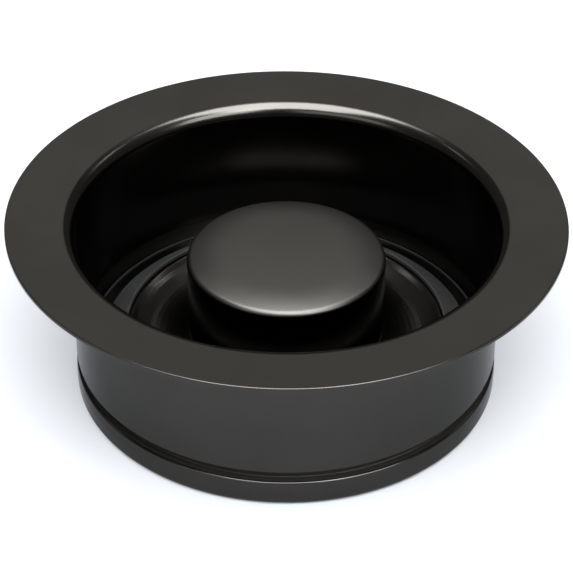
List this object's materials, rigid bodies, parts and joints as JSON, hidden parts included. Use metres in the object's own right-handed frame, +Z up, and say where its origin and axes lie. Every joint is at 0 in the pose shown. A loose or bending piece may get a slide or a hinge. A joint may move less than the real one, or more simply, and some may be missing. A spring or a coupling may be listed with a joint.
{
  "type": "disposer sink flange with stopper",
  "caption": "Pressed sink flange of a kitchen food-waste disposer, with a lift-out stopper: a dished plate with a rubber ring over its skirt, a rubber edge seal and a round grip knob.",
  "frame": {"origin": "on the common axis, in the plane of the flange's bottom lip", "axes": "+Z up along the common axis, out of the drain; X and Y are any two directions across it"},
  "size_m": [0.114, 0.114, 0.0398],
  "materials": {
    "gunmetal_steel": "satin dark gunmetal coating on pressed stainless steel",
    "seal_rubber": "matt black moulded rubber",
    "core_plastic": "matt charcoal moulded plastic",
    "insert_brass": "turned brass",
    "fastener_steel": "bare stainless steel"
  },
  "bodies": {
    "flange": {"sink_flange": "gunmetal_steel"},
    "seal": {"edge_seal": "seal_rubber"},
    "stopper": {"stopper_dish": "gunmetal_steel", "knob_cap": "gunmetal_steel", "knob_core": "core_plastic", "skirt_ring": "seal_rubber", "knob_gasket": "seal_rubber", "threaded_insert": "insert_brass", "flat_washer": "fastener_steel", "lock_washer": "fastener_steel", "centre_screw": "fastener_steel"}
  },
  "joints": [
    {"name": "stopper_lift", "type": "slide", "parent": "flange", "child": "seal", "axis": [0, 0, 1], "range_m": [0, 0.06]},
    {"name": "stopper_turn", "type": "hinge", "parent": "seal", "child": "stopper", "pos_m": [0, 0, 0.0084], "axis": [0, 0, 1], "continuous": true}
  ]
}
